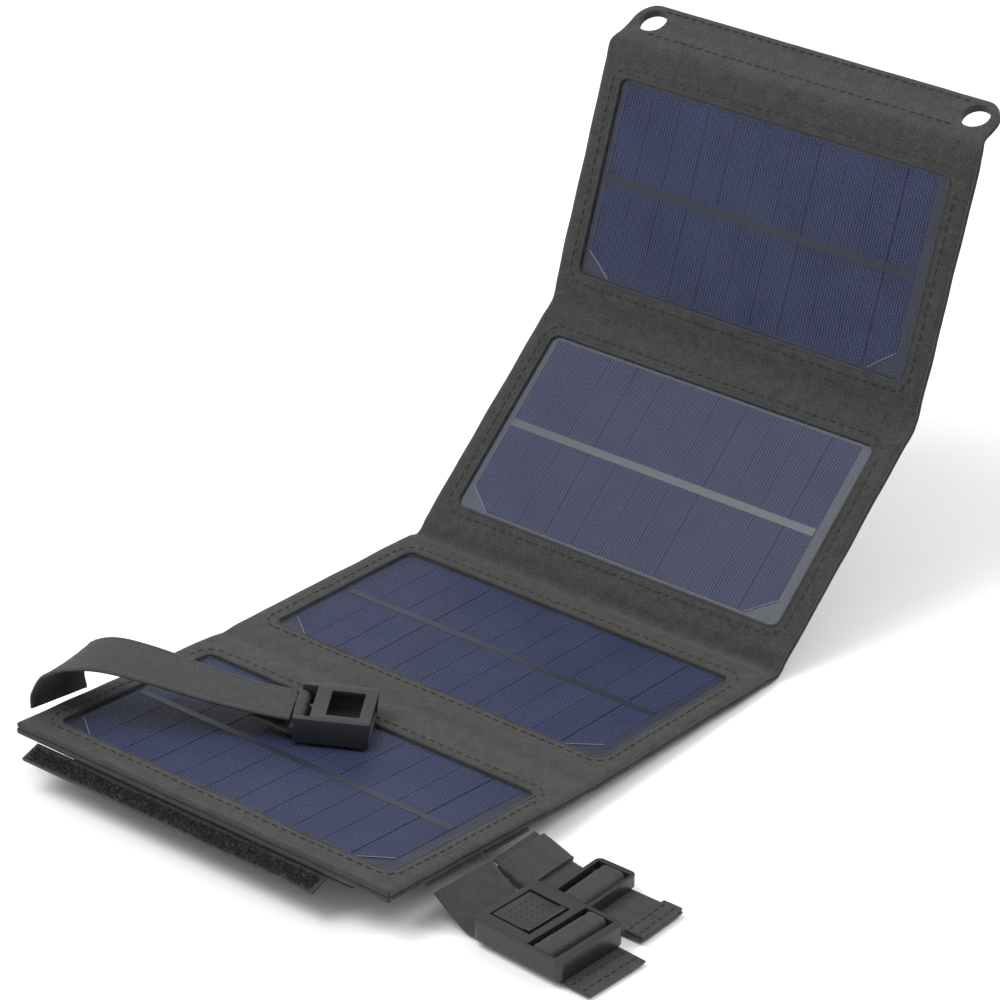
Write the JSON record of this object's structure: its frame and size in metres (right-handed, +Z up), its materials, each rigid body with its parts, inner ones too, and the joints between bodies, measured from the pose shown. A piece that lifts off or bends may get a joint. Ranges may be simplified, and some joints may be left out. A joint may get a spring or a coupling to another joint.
{
  "type": "folding solar panel charger",
  "caption": "Fabric solar charger of hinged panels that fold up like an accordion, with a hanging tab, a pouch with a USB regulator, and straps with a release buckle.",
  "frame": {"origin": "under the pouch of the front panel, on the ground, midway across the panels", "axes": "+X across the panels to the side of the two adjuster straps, +Y from the front panel to the raised one, +Z up"},
  "size_m": [0.2156, 0.3192, 0.1591],
  "materials": {
    "canvas": "woven polyester, dark grey",
    "webbing": "ribbed polypropylene webbing, charcoal",
    "hook_loop": "fuzzy loop pile, black",
    "cell": "blue monocrystalline cell with fine silver fingers",
    "ribbon": "dark tinned ribbon",
    "board": "dark laminate board",
    "film": "clear satin PET film over the cells",
    "stiffener": "polypropylene sheet",
    "wire": "insulated flat lead",
    "buckle": "satin moulded acetal, charcoal",
    "case": "black moulded ABS",
    "pcb": "green solder mask",
    "shell_metal": "stamped, bright",
    "tongue": "white insulator",
    "lens": "red indicator lens"
  },
  "bodies": {
    "panel_1": {"front_cover_1": "canvas", "back_cover_1": "canvas", "stiffener_board_1": "stiffener", "module_board_1": "board", "cell_strips_1": "cell", "busbar_ribbon_1": "ribbon", "encapsulant_1": "film", "lead_wires_1": "wire", "pouch_shell": "canvas", "mouth_strip": "hook_loop", "case_bottom": "case", "case_top": "case", "circuit_board": "pcb", "usb_shell": "shell_metal", "usb_tongue": "tongue", "led_lens": "lens", "left_anchor": "webbing", "right_anchors": "webbing"},
    "panel_2": {"front_cover_2": "canvas", "back_cover_2": "canvas", "stiffener_board_2": "stiffener", "module_board_2": "board", "cell_strips_2": "cell", "busbar_ribbon_2": "ribbon", "encapsulant_2": "film", "lead_wires_2": "wire"},
    "panel_3": {"front_cover_3": "canvas", "back_cover_3": "canvas", "stiffener_board_3": "stiffener", "module_board_3": "board", "cell_strips_3": "cell", "busbar_ribbon_3": "ribbon", "encapsulant_3": "film", "lead_wires_3": "wire"},
    "panel_4": {"front_cover_4": "canvas", "back_cover_4": "canvas", "stiffener_board_4": "stiffener", "module_board_4": "board", "cell_strips_4": "cell", "busbar_ribbon_4": "ribbon", "encapsulant_4": "film", "lead_wires_4": "wire"},
    "hang_tab": {"tab_front_cover": "canvas", "tab_back_cover": "canvas"},
    "closing_lip": {"lip_fabric": "canvas", "lip_strip": "hook_loop"},
    "left_strap": {"left_webbing": "webbing"},
    "socket_buckle": {"female_buckle": "buckle"},
    "adjust_strap": {"strap_a_webbing": "webbing", "male_frame": "buckle"},
    "release_tongue": {"release_pad": "buckle"},
    "guide_strap": {"strap_b_webbing": "webbing", "strap_b_hem": "canvas", "keeper_loop": "webbing"},
    "slider": {"tri_glide": "buckle", "glide_webbing": "webbing"}
  },
  "joints": [
    {"name": "fold_1", "type": "hinge", "parent": "panel_1", "child": "panel_2", "pos_m": [0, 0.04831, 0.00852], "axis": [1, 0, 0], "range_deg": [0, 174]},
    {"name": "fold_2", "type": "hinge", "parent": "panel_2", "child": "panel_3", "pos_m": [0, 0.14721, -0.0004], "axis": [-1, 0, 0], "range_deg": [-48, 222]},
    {"name": "fold_3", "type": "hinge", "parent": "panel_3", "child": "panel_4", "pos_m": [0, 0.21722, 0.06413], "axis": [1, 0, 0], "range_deg": [-30.8, 149]},
    {"name": "tab_fold", "type": "hinge", "parent": "panel_4", "child": "hang_tab", "pos_m": [0, 0.25174, 0.14878], "axis": [1, 0, 0], "range_deg": [-44, 46]},
    {"name": "lip_fold", "type": "hinge", "parent": "panel_1", "child": "closing_lip", "pos_m": [0, -0.04444, 0.01253], "axis": [1, 0, 0], "range_deg": [-18, 75]},
    {"name": "left_strap_swing", "type": "hinge", "parent": "panel_1", "child": "left_strap", "pos_m": [-0.0756, -0.04505, 0.01661], "axis": [0, -0.9954, 0.0958], "range_deg": [0, 166]},
    {"name": "socket_buckle_pivot", "type": "hinge", "parent": "left_strap", "child": "socket_buckle", "pos_m": [-0.014, 0.01569, 0.01518], "axis": [0.5446, -0.8348, 0.0804], "range_deg": [0, 60]},
    {"name": "adjust_strap_swing", "type": "hinge", "parent": "panel_1", "child": "adjust_strap", "pos_m": [0.0752, -0.0154, 0.0099], "axis": [0, -0.9954, 0.0958], "range_deg": [-45, 90]},
    {"name": "release_press", "type": "hinge", "parent": "adjust_strap", "child": "release_tongue", "pos_m": [0.09544, -0.01678, 0.0074], "axis": [0.0698, 0.9976, 0], "range_deg": [0, 8], "stiffness_Nm_per_rad": 0.6},
    {"name": "guide_strap_swing", "type": "hinge", "parent": "panel_1", "child": "guide_strap", "pos_m": [0.0752, 0.0095, 0.0072], "axis": [0, -0.9954, 0.0958], "range_deg": [-45, 75]},
    {"name": "slider_slide", "type": "slide", "parent": "guide_strap", "child": "slider", "axis": [1, 0, 0], "range_m": [-0.003, 0.011]}
  ],
  "couplings": [
    {"joint": "left_strap_swing", "follows": "fold_1", "ratio": 0.95}
  ]
}
